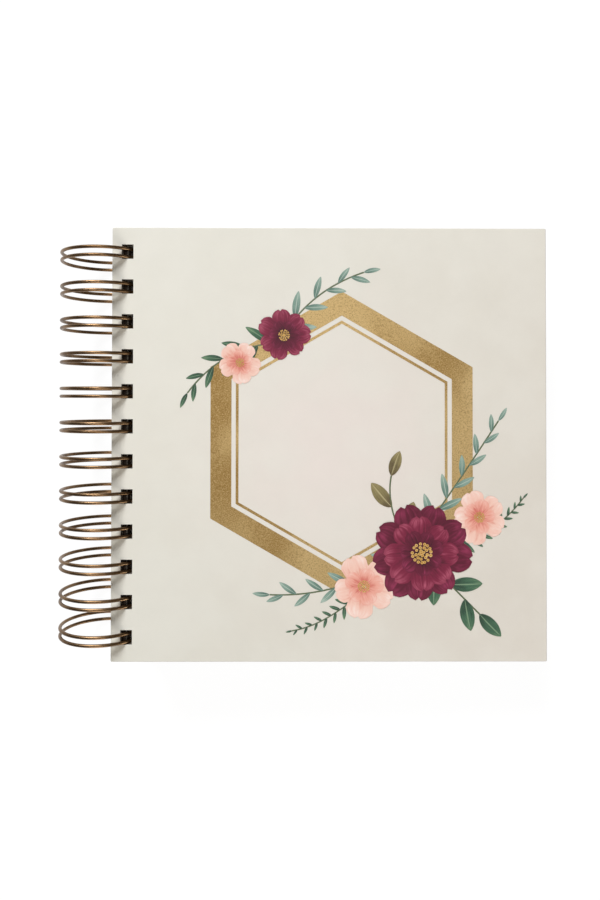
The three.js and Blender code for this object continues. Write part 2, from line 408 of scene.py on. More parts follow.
cover_paper = cover_paper_finish()
wrapped = wrapped_cover_mesh("front_cover_paper")
turned_over = wrapped.copy()
turned_over.transform(Matrix.Rotation(math.pi, 4, "X"))
for side, mesh in (("front", wrapped), ("back", turned_over)):
    node = f"{side}_cover_paper"
    dress(new_piece(f"{side}_wrap", mesh, f"{side}_cover", "cover_paper", node), cover_paper)

# End papers. One sheet of uncoated ivory paper is pasted inside each cover, over the turn-ins, and
# leaves an even border of cover paper in view.


def end_paper_finish():
    material, tree, shader, place = new_finish("end_paper", roughness=0.9)
    fibred(tree, shader, place, colour(240, 235, 224), fibre=0.0009, contrast=0.09, depth=0.00002)
    return material


end_paper = end_paper_finish()
for side in ("front", "back"):
    dress(frame["nodes"][f"{side}_cover_liner"], end_paper)

# Writing leaves. Each group behind a divider is a stack of loose sheets, punched together and
# printed with feint rules and a margin. The sheets lie a hair out of line, so that their edges show
# as strata.
sheet_count = 14
sheet_gap = 0.008
sheet_wander = 0.11
rule_spacing = 7.1 * MILLIMETRE
rule_width = 0.22 * MILLIMETRE
spaces_above = 2.4
margin_column = 28.0
hole_shade_reach = 0.9 * MILLIMETRE
section_count = sum(node.startswith("leaves_") for node in frame["nodes"])
MADE = {"Made": "Geometry"}


def combine(tree, x=0.0, y=0.0, z=0.0):
    return add(tree, "ShaderNodeCombineXYZ", {"X": x, "Y": y, "Z": z}).outputs[0]


def formed(tree, kind, inputs=None, **settings):
    """What one geometry node makes."""
    return add(tree, f"GeometryNode{kind}", inputs, **settings).outputs[0]


def coated(tree, instances, finish):
    """Instances as plain faces with one material."""
    real = formed(tree, "RealizeInstances", {"Geometry": instances})
    return formed(tree, "SetMaterial", {"Geometry": real, "Material": finish})


def stack_tree():
    """Geometry nodes that stack copies of a sheet, each moved a little along and across."""
    tree, given, out = new_group(
        "Geometry", "stack_of_sheets", MADE, Sheet="Geometry", Count="Int", Pitch="Float",
        Wander="Float", Seed="Int", Finish="Material",
    )
    step = combine(tree, z=given["Pitch"])
    line = formed(tree, "MeshLine", {"Count": given["Count"], "Offset": step}, mode="OFFSET")
    wander = given["Wander"]
    back = times(tree, wander, -1.0)
    values = {0: combine(tree, back, back), 1: combine(tree, wander, wander), "Seed": given["Seed"]}
    moved = add(tree, "FunctionNodeRandomValue", values, data_type="FLOAT_VECTOR").outputs[0]
    places = formed(tree, "SetPosition", {"Geometry": line, "Offset": moved})
    sheets = formed(tree, "InstanceOnPoints", {"Points": places, "Instance": given["Sheet"]})
    tree.links.new(coated(tree, sheets, given["Finish"]), out["Made"])
    return tree


def sheet_mesh(node, thickness):
    """One punched sheet with the outline of a group of leaves, at the bottom of the group."""
    low, high = book_box(node)
    holes = punched_holes(node)
    punched = in_holes(holes)
    columns = [low[0], *holes[0], high[0]]
    rows = [low[1], *[edge for span in holes[1] for edge in span], high[1]]
    bm = bmesh.new()
    grid_layer(bm, columns, rows, low[2], punched, 1)
    bmesh.ops.delete(bm, geom=[v for v in bm.verts if not v.link_faces], context="VERTS")
    swept = bmesh.ops.extrude_face_region(bm, geom=bm.faces[:])["geom"]
    risen = [part for part in swept if isinstance(part, bmesh.types.BMVert)]
    bmesh.ops.translate(bm, verts=risen, vec=(0, 0, thickness))
    bmesh.ops.recalc_face_normals(bm, faces=bm.faces)
    return mesh_from(node, bm)


def sheet_face(tree):
    """Tells a sheet's two faces from its edges, by its own normal, so that it may lie or stand."""
    upward = axes_of(tree, add(tree, "ShaderNodeTexCoord").outputs["Normal"])["Z"]
    return reckon(tree, "GREATER_THAN", reckon(tree, "ABSOLUTE", upward), 0.9)


def distance(tree, value, middle):
    """How far a value lies from a middle one."""
    return reckon(tree, "ABSOLUTE", reckon(tree, "SUBTRACT", value, middle))


def with_bruised_holes(tree, place, on_face, paper):
    """Darkens the sides of the holes with painted shade, where little light gets down the stack."""
    columns, rows = punched_holes("leaves_1")
    low = book_frame @ Vector((columns[0], rows[0][0], 0))
    high = book_frame @ Vector((columns[1], rows[-1][1], 0))
    axes = axes_of(tree, place)
    walls = reckon(tree, "SUBTRACT", 0.9, on_face)
    for axis, first, last in (("X", low.x, high.x), ("Y", low.y, high.y)):
        from_middle = distance(tree, axes[axis], (first + last) / 2)
        near = reckon(tree, "LESS_THAN", from_middle, (last - first) / 2 + hole_shade_reach)
        walls = times(tree, walls, near)
    # Painted shade: dark brown on the sides of the holes.
    return tint(tree, reckon(tree, "MAXIMUM", walls, 0.0), paper, colour(66, 55, 45))


def column_x(x):
    """A column of the book, as an X in the shared frame."""
    return (book_frame @ Vector((x, 0, 0))).x


def writing_paper_finish():
    """Ruled on both faces of a sheet; the rules are left off its edges."""
    material, tree, shader, place = new_finish("writing_paper", roughness=0.88)
    axes = axes_of(tree, place)
    on_face = sheet_face(tree)
    from_line = reckon(tree, "PINGPONG", axes["Y"], rule_spacing / 2)
    rules = reckon(tree, "LESS_THAN", from_line, rule_width / 2)
    head_margin = book_box("leaves_1")[1][1] * MILLIMETRE - spaces_above * rule_spacing
    below_head = reckon(tree, "LESS_THAN", axes["Y"], head_margin)
    rules = times(tree, times(tree, rules, below_head), on_face)
    from_margin = distance(tree, axes["X"], column_x(margin_column))
    margin = reckon(tree, "LESS_THAN", from_margin, rule_width * 0.6)
    margin = times(tree, margin, on_face)
    ivory, feint_blue, feint_red = colour(246, 243, 234), colour(150, 160, 168), colour(178, 96, 92)
    sheet = tint(tree, times(tree, rules, 0.55), ivory, feint_blue)
    sheet = tint(tree, times(tree, margin, 0.5), sheet, feint_red)
    sheet = with_bruised_holes(tree, place, on_face, sheet)
    fibred(tree, shader, place, sheet, fibre=0.0006, contrast=0.06, depth=0.000012)
    return material


writing_paper = writing_paper_finish()
stack_of_sheets = stack_tree()
for number in range(1, section_count + 1):
    node = f"leaves_{number}"
    low, high = book_box(node)
    sheet_pitch = (high[2] - low[2] + sheet_gap) / sheet_count
    inputs = {"Count": sheet_count, "Pitch": sheet_pitch, "Wander": sheet_wander, "Seed": number,
              "Finish": writing_paper}
    sheet = sheet_mesh(node, sheet_pitch - sheet_gap)
    stack = built(sheet, "NODES", inputs, node_group=stack_of_sheets)
    sheets = new_piece(f"sheets_{number}", stack, f"section_{number}", "leaf_paper", node)
    dress(sheets, writing_paper)

# Index dividers. Stiff ivory card with a tab on the fore-edge of each, in step from head to tail.
# The tabs are laminated in the colours of the cover's print and numbered on both sides. A band of
# dark brown tape along the punched edge is painted shade, which darkens what shows down the holes.
tab_tones = [
    colour(112, 34, 58), colour(222, 164, 150), colour(92, 122, 104), colour(190, 152, 92),
    colour(52, 84, 68), colour(236, 200, 188), colour(126, 118, 74), colour(148, 58, 80),
]
dark_tone = 0.75
numeral_height = 5.2
figure_share = 0.7
print_lift = 0.012
tab_step = 0.6
tab_root = 1.0
shade_tape_width = 11.0
card_roughness = 0.76
film_roughness = 0.34


def divider_finish(number, punched_edge, leaf_edge):
    """Card with dark tape along its punched edge as painted shade, and film over its tab."""
    material, tree, shader, place = new_finish(f"divider_card_{number}", card_roughness)
    across = axes_of(tree, place)["X"]
    on_tab = reckon(tree, "GREATER_THAN", across, column_x(leaf_edge + tab_step))
    card = tint(tree, on_tab, colour(238, 230, 216), tab_tones[number - 1])
    # Painted shade: a dark brown band along the punched edge, seen down the holes.
    on_shade_tape = reckon(tree, "LESS_THAN", across, column_x(punched_edge + shade_tape_width))
    card = tint(tree, on_shade_tape, card, colour(58, 46, 37))
    fibred(tree, shader, place, card, fibre=0.0008, contrast=0.1, depth=0.000015)
    gloss = film_roughness - card_roughness
    roughness = reckon(tree, "MULTIPLY_ADD", on_tab, gloss, card_roughness)
    tree.links.new(roughness, shader.inputs["Roughness"])
    return material


def ink_finish(name, tone):
    """Ink soaked a little unevenly into card."""
    material, tree, shader, place = new_finish(name, roughness=0.6)
    soak = noise(tree, place, 2500.0, 3.0)
    lighter = tuple(min(1.0, part * 1.35 + 0.01) for part in tone[:3])
    inked = tint(tree, spread(tree, soak, 0.35, 0.7), tone, (*lighter, 1.0))
    tree.links.new(inked, shader.inputs["Base Color"])
    return material


def numeral_mesh(text, height):
    """A plain figure, flat, centred on the origin and facing up."""
    curve = bpy.data.curves.new("numeral", "FONT")
    curve.body = text
    curve.size = height / figure_share
    curve.align_x = "CENTER"
    curve.align_y = "CENTER"
    return evaluated(in_scene("numeral", curve))


def joined(meshes):
    """Several meshes as one."""
    bm = bmesh.new()
    for mesh in meshes:
        bm.from_mesh(mesh)
    return mesh_from("joined", bm)


ink_dark = ink_finish("numeral_ink_dark", colour(58, 44, 40))
ink_light = ink_finish("numeral_ink_light", colour(240, 232, 218))
for number in range(1, section_count + 1):
    node = f"divider_{number}"
    low, high = book_box(node)
    points = book_points(node)
    leaf_edge = book_box(f"leaves_{number}")[1][0]
    dress(frame["nodes"][node], divider_finish(number, low[0], leaf_edge))
    tab = points[points[:, 0] > leaf_edge + tab_root]
    place = Vector(((leaf_edge + high[0]) / 2, (tab[:, 1].min() + tab[:, 1].max()) / 2, 0))
    upper = numeral_mesh(str(number), numeral_height)
    under = upper.copy()
    upper.transform(Matrix.Translation(place + Vector((0, 0, high[2] + print_lift))))
    turned = Matrix.Rotation(math.pi, 4, "Y")
    under.transform(Matrix.Translation(place + Vector((0, 0, low[2] - print_lift))) @ turned)
    figures = new_piece(
        f"numeral_{number}", joined([upper, under]), f"section_{number}", "divider_card"
    )
    on_dark = sum(tab_tones[number - 1][:3]) < dark_tone
    dress(figures, ink_light if on_dark else ink_dark)

# Twin-loop wire. One length of round wire, plated and toned to antique bronze, is bent into
# twelve hairpin fingers and closed to a ring. Each finger leaves the line of bars in the seam, runs
# once round the ring through every hole, and its nose meets the bars again from the other side.
wire_diameter = 1.25
ring_rise = 3.9
ring_radius = front_high[2] + ring_rise
leg_spacing = 2.9
root_corner = 1.2
nose_gap = 0.85
end_stub = 2.2
wire_drop = 0.35
seam_clearance = 0.25
wire_sides = 14
leg_steps = 120
bend_steps = 10
holes = punched_holes("front_cover_paper")
finger_rows = [(low + high) / 2 for low, high in holes[1]]
bar_height = book_box("back_cover_liner")[1][2] + seam_clearance + wire_diameter / 2
bar_angle = math.asin(bar_height / ring_radius)


def wire_route():
    """The wire's way on the unrolled ring: round it from the line of bars, and along the spine."""
    half = leg_spacing / 2
    leg_end = 2 * math.pi * ring_radius - nose_gap - half

    def bend(around, along, radius, start, end):
        turns = [start + (end - start) * step / bend_steps for step in range(bend_steps + 1)]
        return [(around + radius * math.cos(t), along + radius * math.sin(t)) for t in turns]

    def leg(along, start, end):
        return [(start + (end - start) * step / leg_steps, along) for step in range(1, leg_steps)]

    quarter = math.pi / 2
    route = [(0, finger_rows[0] - half - root_corner - end_stub)]
    for row in finger_rows:
        low = row - half
        high = row + half
        route += bend(root_corner, low - root_corner, root_corner, 2 * quarter, quarter)
        route += leg(low, root_corner, leg_end)
        route += bend(leg_end, row, half, -quarter, quarter)
        route += leg(high, leg_end, root_corner)
        route += bend(root_corner, high + root_corner, root_corner, -quarter, -2 * quarter)
    route.append((0, finger_rows[-1] + half + root_corner + end_stub))
    return np.array(route)


def wire_mesh():
    route = wire_route()
    angles = bar_angle + route[:, 0] / ring_radius
    along = route[:, 1] - wire_drop
    still = np.zeros(len(angles))
    outward = np.stack([np.cos(angles), still, np.sin(angles)], axis=1)
    centres = outward * ring_radius + np.stack([still, along, still], axis=1)
    ahead = np.gradient(centres, axis=0)
    ahead /= np.linalg.norm(ahead, axis=1, keepdims=True)
    across = np.cross(outward, ahead)
    across /= np.linalg.norm(across, axis=1, keepdims=True)
    turns = 2 * math.pi * (np.arange(wire_sides) + 0.5) / wire_sides
    rings = (
        centres[:, None, :]
        + across[:, None, :] * (np.cos(turns) * wire_diameter / 2)[None, :, None]
        + outward[:, None, :] * (np.sin(turns) * wire_diameter / 2)[None, :, None]
    )
    last = (len(centres) - 1) * wire_sides
    faces = []
    for start in range(0, last, wire_sides):
        beyond = start + wire_sides
        for side in range(wire_sides):
            beside = (side + 1) % wire_sides
            faces.append((start + side, start + beside, beyond + beside, beyond + side))
    faces.append(tuple(reversed(range(wire_sides))))
    faces.append(tuple(range(last, last + wire_sides)))
    mesh = bpy.data.meshes.new("twin_loop_wire")
    mesh.from_pydata(rings.reshape(-1, 3).tolist(), [], faces)
    mesh.shade_smooth()
    mesh.set_sharp_from_angle(angle=math.radians(60))
    bm = bmesh.new()
    bm.from_mesh(mesh)
    bmesh.ops.recalc_face_normals(bm, faces=bm.faces)
    bm.to_mesh(mesh)
    bm.free()
    return mesh


def antique_bronze_finish():
    """Dark toned plating, rubbed back to copper and brass where hands wear the wire."""
    material, tree, shader, place = new_finish("antique_bronze", roughness=0.36, metallic=1.0)
    clouds = noise(tree, place, 150.0, 3.0)
    drawn = add(tree, "ShaderNodeMapping", {"Vector": place, "Scale": (300.0, 4200.0, 300.0)})
    streaks = noise(tree, drawn.outputs[0], 5.0, 4.0)
    worn = reckon(tree, "MULTIPLY_ADD", streaks, 0.4, clouds)
    toned, bare, coppery = colour(98, 74, 50), colour(140, 113, 84), colour(114, 87, 59)
    metal = tint(tree, spread(tree, worn, 0.5, 0.9), toned, bare)
    metal = tint(tree, spread(tree, clouds, 0.42, 0.66, 0.0, 0.45), metal, coppery)
    tree.links.new(metal, shader.inputs["Base Color"])
    tree.links.new(spread(tree, worn, 0.5, 0.9, 0.4, 0.33), shader.inputs["Roughness"])
    relief(tree, shader, streaks, 0.000002, 0.3)
    return material


wire = new_piece("wire_binding", wire_mesh(), "back_cover", "bronze_wire", "twin_loop_wire")
dress(wire, antique_bronze_finish())

# Foil frame. A plain six-sided frame of two lines, stamped on the front cover in speckled gold foil
# that has picked up the tooth of the paper.
frame_middle = cover_middle + Vector((4.5, 0.5, 0))
frame_radius = 55.0
frame_band = 7.6
line_inset = 10.6
line_band = 1.0
foil_lift = 0.02


def six_sided_ring(outer, band):
    """A flat ring between two hexagons that stand on a corner."""
    inner = outer - band / math.cos(math.pi / 6)
    turns = [math.pi / 2 + math.pi / 3 * corner for corner in range(6)]
    points = [(r * math.cos(t), r * math.sin(t), 0) for r in (outer, inner) for t in turns]
    mesh = bpy.data.meshes.new("ring")
    mesh.from_pydata(points, [], [(i, (i + 1) % 6, (i + 1) % 6 + 6, i + 6) for i in range(6)])
    return mesh


def gold_foil_finish():
    material, tree, shader, place = new_finish("gold_foil", roughness=0.42, metallic=0.72)
    speckle = noise(tree, place, 2300.0, 4.0, roughness=0.7)
    sweep = noise(tree, place, 26.0, 2.0, distortion=0.4)
    dark, light = colour(177, 144, 86), colour(219, 190, 133)
    # Specks high in the relief are painted glints; low ones are painted shade in the tooth's pits.
    glint, pit_shade = colour(230, 205, 155), colour(128, 94, 50)
    gold = tint(tree, spread(tree, sweep, 0.36, 0.66), dark, light)
    gold = tint(tree, spread(tree, speckle, 0.48, 0.7, 0.0, 0.6), gold, glint)
    gold = tint(tree, spread(tree, speckle, 0.5, 0.34, 0.0, 0.55), gold, pit_shade)
    tree.links.new(gold, shader.inputs["Base Color"])
    tree.links.new(spread(tree, speckle, 0.3, 0.7, 0.5, 0.34), shader.inputs["Roughness"])
    relief(tree, shader, speckle, 0.00003, 0.8)
    return material


foil_mesh = joined(
    [six_sided_ring(frame_radius, frame_band), six_sided_ring(frame_radius - line_inset, line_band)]
)
foil_mesh.transform(Matrix.Translation(frame_middle + Vector((0, 0, foil_lift))))
dress(new_piece("foil_frame", foil_mesh, "front_cover", "cover_paper"), gold_foil_finish())

# Painted sprays. The cover is printed with washes of garden flowers, laid over the foil: full
# blossoms in burgundy and wine, simple blush ones, and sprays of willow, fern and broad leaves.


def outline_width(base, tip):
    """How wide a petal or leaf is along its length, from 0 to 1. Low powers make a round end."""
    peak = base / (base + tip)
    most = peak ** base * (1 - peak) ** tip
    return lambda along: along ** base * (1 - along) ** tip / most


def blade_mesh(length, width, base, tip, notch=0.0, ripple=0.0, bow=0.0):
    """A flat petal or leaf that grows from the origin along +X, mapped by length and width."""
    steps = 18
    lanes = 6
    trimmed = 0.004
    ripple_pace = 19
    half_width = outline_width(base, tip)
    bm = bmesh.new()
    layer = bm.loops.layers.uv.new("UVMap")
    rows = []
    for step in range(steps + 1):
        along = trimmed + (1 - 2 * trimmed) * step / steps
        half = half_width(along) * width / 2 * (1 + ripple * math.sin(along * ripple_pace))
        row = []
        for lane in range(lanes + 1):
            across = 2 * lane / lanes - 1
            dip = notch * length * (1 - abs(across)) * along ** 6
            x = along * length - dip
            y = across * half + bow * length * along * along
            row.append((bm.verts.new((x, y, 0)), (along, lane / lanes)))
        rows.append(row)
    for lower, upper in zip(rows, rows[1:]):
        for lane in range(lanes):
            corners = [lower[lane], upper[lane], upper[lane + 1], lower[lane + 1]]
            face = bm.faces.new([vertex for vertex, _ in corners])
            for loop, (_, uv) in zip(face.loops, corners):
                loop[layer].uv = uv
    return mesh_from("blade", bm)


def dot_mesh(radius):
    """A flat round spot, mapped from its middle to its rim."""
    sides = 20
    bm = bmesh.new()
    layer = bm.loops.layers.uv.new("UVMap")
    middle = bm.verts.new((0, 0, 0))
    turns = [2 * math.pi * side / sides for side in range(sides)]
    rim = [bm.verts.new((radius * math.cos(t), radius * math.sin(t), 0)) for t in turns]
    for side in range(sides):
        face = bm.faces.new([middle, rim[side], rim[(side + 1) % sides]])
        for loop, uv in zip(face.loops, ((0, 0.5), (1, side / sides), (1, (side + 1) / sides))):
            loop[layer].uv = uv
    return mesh_from("dot", bm)


petal_sizes = (0.9, 1.06)
leaf_sizes = (0.9, 1.08)
leaf_play = 0.12
leaf_closing = 0.35
stem_flatness = 0.005


def scatter(tree, low, high, seed):
    """A random value for each point."""
    values = {2: low, 3: high, "Seed": seed}
    return add(tree, "FunctionNodeRandomValue", values, data_type="FLOAT").outputs[1]


def laid_out(tree, points, blade, turn, size, finish):
    """Puts a blade on each point, turned and sized, as plain painted faces."""
    spin = add(tree, "FunctionNodeEulerToRotation", {0: combine(tree, z=turn)}).outputs[0]
    scale = combine(tree, size, size, 1.0)
    values = {"Points": points, "Instance": blade, "Rotation": spin, "Scale": scale}
    return coated(tree, formed(tree, "InstanceOnPoints", values), finish)


def whorl_tree():
    """Petals in a ring, each a little above the one before."""
    tree, given, out = new_group(
        "Geometry", "whorl", MADE, Petal="Geometry", Count="Int", Heart="Float", Turn="Float",
        Uneven="Float", Layer="Float", Seed="Int", Paint="Material",
    )
    number = formed(tree, "InputIndex")
    step = reckon(tree, "DIVIDE", 2 * math.pi, given["Count"])
    most = given["Uneven"]
    uneven_turn = scatter(tree, times(tree, most, -1.0), most, given["Seed"])
    turn = reckon(tree, "MULTIPLY_ADD", number, step, given["Turn"])
    turn = reckon(tree, "ADD", turn, uneven_turn)
    out_x = times(tree, reckon(tree, "COSINE", turn), given["Heart"])
    out_y = times(tree, reckon(tree, "SINE", turn), given["Heart"])
    rise = times(tree, number, given["Layer"])
    line = formed(tree, "MeshLine", {"Count": given["Count"], "Offset": (0, 0, 0)}, mode="OFFSET")
    offset = combine(tree, out_x, out_y, rise)
    points = formed(tree, "SetPosition", {"Geometry": line, "Offset": offset})
    size = scatter(tree, *petal_sizes, reckon(tree, "ADD", given["Seed"], 7.0))
    made = laid_out(tree, points, given["Petal"], turn, size, given["Paint"])
    tree.links.new(made, out["Made"])
    return tree


def sprig_tree():
    """Leaves by turns on the two sides of an arched stem, smaller to the tip, which bears one."""
    tree, given, out = new_group(
        "Geometry", "sprig", MADE, Leaf="Geometry", Count="Int", Start="Vector", Middle="Vector",
        End="Vector", Splay="Float", Tip="Float", Layer="Float", Width="Float", Seed="Int",
        Paint="Material", Stem="Material",
    )
    values = {key: given[key] for key in ("Start", "Middle", "End")}
    stem = formed(tree, "CurveQuadraticBezier", {"Resolution": 40, **values})
    values = {"Curve": stem, "Count": given["Count"]}
    spots = add(tree, "GeometryNodeCurveToPoints", values, mode="COUNT").outputs
    heading = axes_of(tree, spots["Tangent"])
    along_stem = reckon(tree, "ARCTAN2", heading["Y"], heading["X"])
    number = formed(tree, "InputIndex")
    share = reckon(tree, "DIVIDE", number, reckon(tree, "SUBTRACT", given["Count"], 1.0))
    side = reckon(tree, "MULTIPLY_ADD", reckon(tree, "MODULO", number, 2.0), 2.0, -1.0)
    not_tip = reckon(tree, "LESS_THAN", share, 0.999)
    closing = reckon(tree, "MULTIPLY_ADD", share, -leaf_closing, 1.0)
    splay = times(tree, given["Splay"], closing)
    splay = times(tree, times(tree, splay, side), not_tip)
    loose = scatter(tree, -leaf_play, leaf_play, given["Seed"])
    turn = reckon(tree, "ADD", reckon(tree, "ADD", along_stem, splay), loose)
    shrink = reckon(tree, "SUBTRACT", given["Tip"], 1.0)
    size = reckon(tree, "MULTIPLY_ADD", share, shrink, 1.0)
    varied = scatter(tree, *leaf_sizes, reckon(tree, "ADD", given["Seed"], 3.0))
    size = times(tree, size, varied)
    rise = combine(tree, z=times(tree, number, given["Layer"]))
    points = formed(tree, "SetPosition", {"Geometry": spots["Points"], "Offset": rise})
    leaves = laid_out(tree, points, given["Leaf"], turn, size, given["Paint"])
    half = reckon(tree, "DIVIDE", given["Width"], 2.0)
    section = formed(tree, "CurvePrimitiveCircle", {"Radius": half, "Resolution": 6})
    rod = formed(tree, "CurveToMesh", {"Curve": stem, "Profile Curve": section})
    flat = formed(tree, "Transform", {"Geometry": rod, "Scale": (1.0, 1.0, stem_flatness)})
    painted = formed(tree, "SetMaterial", {"Geometry": flat, "Material": given["Stem"]})
    both = add(tree, "GeometryNodeJoinGeometry")
    tree.links.new(leaves, both.inputs[0])
    tree.links.new(painted, both.inputs[0])
    tree.links.new(both.outputs[0], out["Made"])
    return tree


def wash_effect():
    """A wash of paint: streaks along a petal, clouds where it pooled, and a darker dried rim."""
    effect, given, out = new_group(
        "Shader", "painted_wash", {"Paint": "Color"}, Along="Float", Across="Float", Place="Vector",
        Streaks="Float", Deep="Color", Full="Color", Pale="Color",
    )
    along, across, place, streaks, deep, full, pale = given[:7]
    lanes = combine(effect, times(effect, along, 1.6), times(effect, across, streaks))
    shift = add(effect, "ShaderNodeVectorMath", {0: place, "Scale": 90.0}, operation="SCALE")
    values = {0: lanes, 1: shift.outputs[0]}
    moved = add(effect, "ShaderNodeVectorMath", values, operation="ADD").outputs[0]
    brush = noise(effect, moved, 1.0, 4.0)
    pool = noise(effect, place, 210.0, 5.0)
    strength = reckon(effect, "MULTIPLY_ADD", brush, 0.9, times(effect, pool, 0.7))
    strength = reckon(effect, "ADD", strength, reckon(effect, "MULTIPLY_ADD", along, 0.75, -0.8))
    wash = tint(effect, spread(effect, strength, 0.05, 0.5), deep, full)
    wash = tint(effect, spread(effect, strength, 0.46, 1.0), wash, pale)
    from_middle = reckon(effect, "ABSOLUTE", reckon(effect, "MULTIPLY_ADD", across, 2.0, -1.0))
    edge = reckon(effect, "MAXIMUM", from_middle, along)
    rim = spread(effect, edge, 0.86, 0.99)
    wash = tint(effect, times(effect, rim, 0.55), wash, full)
    effect.links.new(wash, out["Paint"])
    return effect


painted_wash = wash_effect()


def paint_finish(name, deep, full, pale, streaks=9.0, vein=None):
    """Paint on a petal or leaf, from the deep tone at its foot to the pale one at its tip."""
    material, tree, shader, place = new_finish(name, roughness=0.52)
    ways = axes_of(tree, add(tree, "ShaderNodeUVMap", uv_map="UVMap").outputs[0])
    values = {"Along": ways["X"], "Across": ways["Y"], "Place": place, "Streaks": streaks,
              "Deep": colour(*deep), "Full": colour(*full), "Pale": colour(*pale)}
    paint = add(tree, "ShaderNodeGroup", values, node_tree=painted_wash).outputs["Paint"]
    if vein:
        from_rib = distance(tree, ways["Y"], 0.5)
        rib = spread(tree, from_rib, 0.07, 0.02, 0.0, 0.75)
        along = times(tree, ways["X"], 16.0)
        side = reckon(tree, "MULTIPLY_ADD", from_rib, -9.0, along)
        branch = spread(tree, reckon(tree, "PINGPONG", side, 0.5), 0.1, 0.02, 0.0, 0.35)
        paint = tint(tree, reckon(tree, "MAXIMUM", rib, branch), paint, colour(*vein))
    tree.links.new(paint, shader.inputs["Base Color"])
    return material


burgundy = paint_finish("burgundy_petal", (44, 6, 20), (92, 12, 42), (150, 48, 84), 12.0)
wine = paint_finish("wine_petal", (64, 8, 28), (122, 26, 58), (184, 88, 112), 12.0)
blush = paint_finish("blush_petal", (226, 150, 130), (242, 199, 182), (250, 229, 219))
rose = paint_finish("rose_petal", (210, 114, 100), (235, 168, 150), (248, 214, 200))
sage = paint_finish(
    "sage_leaf", (84, 116, 104), (124, 152, 138), (176, 194, 180), 7.0, (196, 208, 194)
)
fir = paint_finish(
    "deep_green_leaf", (34, 62, 48), (58, 96, 72), (118, 150, 112), 7.0, (134, 162, 128)
)
olive = paint_finish(
    "olive_leaf", (88, 74, 48), (130, 118, 76), (172, 158, 112), 7.0, (186, 174, 130)
)
stem_green = paint_finish("stem", (78, 92, 66), (110, 122, 88), (138, 146, 112))
pollen = paint_finish("pollen", (150, 104, 42), (206, 160, 84), (240, 212, 150))

whorl = whorl_tree()
sprig = sprig_tree()
petal_layer = 0.002
leaf_layer = 0.001
ring_step = 0.02
print_level = 0.03
petal_shape = {"base": 0.75, "tip": 0.42, "notch": 0.07, "ripple": 0.025}
petal_reach = 0.92
petal_play = 0.09
heart_share = 0.08
grain_play = 0.12
grain_share = 0.17
grain_circles = ((1.0, 15), (0.62, 9), (0.25, 4), (0.0, 1))


def printed(name, mesh, level, x=0.0, y=0.0):
    """Lays a motif on the cover, at a place from the frame's middle, in its layer of the print."""
    mesh.transform(Matrix.Translation(frame_middle + Vector((x, y, print_level + level))))
    new_piece(name, mesh, "front_cover", "cover_paper")


def merged(meshes):
    """Several painted meshes as one, each keeping its own materials."""
    makers = [in_scene("part_of_motif", mesh) for mesh in meshes]
    first = makers[0]
    with bpy.context.temp_override(
        active_object=first, object=first, selected_objects=makers, selected_editable_objects=makers
    ):
        bpy.ops.object.join()
    mesh = first.data
    bpy.data.objects.remove(first)
    return mesh


def ring_of(petal, count, heart, turn, uneven, seed, paint):
    inputs = {"Count": count, "Heart": heart, "Turn": turn, "Uneven": uneven, "Layer": petal_layer,
              "Seed": seed, "Paint": paint}
    return built(petal, "NODES", inputs, node_group=whorl)


def blossom(name, x, y, level, rings, eye, seed):
    """A blossom of rings of petals, each (radius, width, count, paint), round an eye of pollen."""
    layers = []
    for order, (reach, width, count, paint) in enumerate(rings):
        petal = blade_mesh(reach * petal_reach, width, **petal_shape)
        turn = order * math.pi / count + seed * 0.4
        ring = ring_of(petal, count, reach * heart_share, turn, petal_play, seed + order, paint)
        ring.transform(Matrix.Translation((0, 0, order * ring_step)))
        layers.append(ring)
    top = len(rings) * ring_step
    for order, (share, count) in enumerate(grain_circles):
        turn = seed + order
        grain = dot_mesh(eye * grain_share)
        grains = ring_of(grain, count, eye * share, turn, grain_play, turn, pollen)
        grains.transform(Matrix.Translation((0, 0, top + ring_step * (order + 1))))
        layers.append(grains)
    printed(name, merged(layers), level, x, y)


def spray(name, level, leaf, count, points, splay, tip_size, paint, seed, width=0.55):
    """Leaves on a stem whose three guide points are given from the frame's middle."""
    start, middle, end = (Vector((*point, 0)) for point in points)
    inputs = {"Count": count, "Start": start, "Middle": middle, "End": end, "Splay": splay,
              "Tip": tip_size, "Layer": leaf_layer, "Width": width, "Seed": seed,
              "Paint": paint, "Stem": stem_green}
    printed(name, built(leaf, "NODES", inputs, node_group=sprig), level)


willow, curled_willow = (blade_mesh(10.5, 2.9, 0.8, 0.85, bow=bow) for bow in (0.08, -0.08))
broad, curled_broad = (blade_mesh(13.5, 6.0, 0.75, 0.8, bow=bow) for bow in (0.05, -0.05))
fern = blade_mesh(6.4, 1.9, 0.5, 0.7)
spray("willow_spray_1", 0.0, willow, 13,
      [(24, -40), (40, -18), (57, 8)], 0.75, 0.6, sage, 11)
spray("willow_spray_2", 0.0005, curled_willow, 11,
      [(20, -42), (0, -56), (-26, -55)], 0.75, 0.6, sage, 12)
spray("fern_spray_1", 0.015, fern, 23,
      [(34, -38), (54, -36), (66, -20)], 1.05, 0.35, fir, 13, 0.45)
spray("fern_spray_2", 0.0155, fern, 21,
      [(14, -48), (-4, -66), (-18, -68)], 1.05, 0.35, fir, 14, 0.45)
spray("broad_leaves_1", 0.040, broad, 4,
      [(34, -46), (44, -56), (50, -62)], 0.8, 0.8, fir, 15)
spray("broad_leaves_2", 0.0415, curled_broad, 3,
      [(22, -34), (16, -22), (18, -12)], 0.7, 0.75, olive, 16)
spray("willow_spray_3", 0.0, willow, 9,
      [(-26, 36), (-44, 34), (-56, 18)], 0.75, 0.6, fir, 17)
spray("willow_spray_4", 0.0005, curled_willow, 8,
      [(-20, 41), (-10, 56), (8, 62)], 0.75, 0.6, sage, 18)
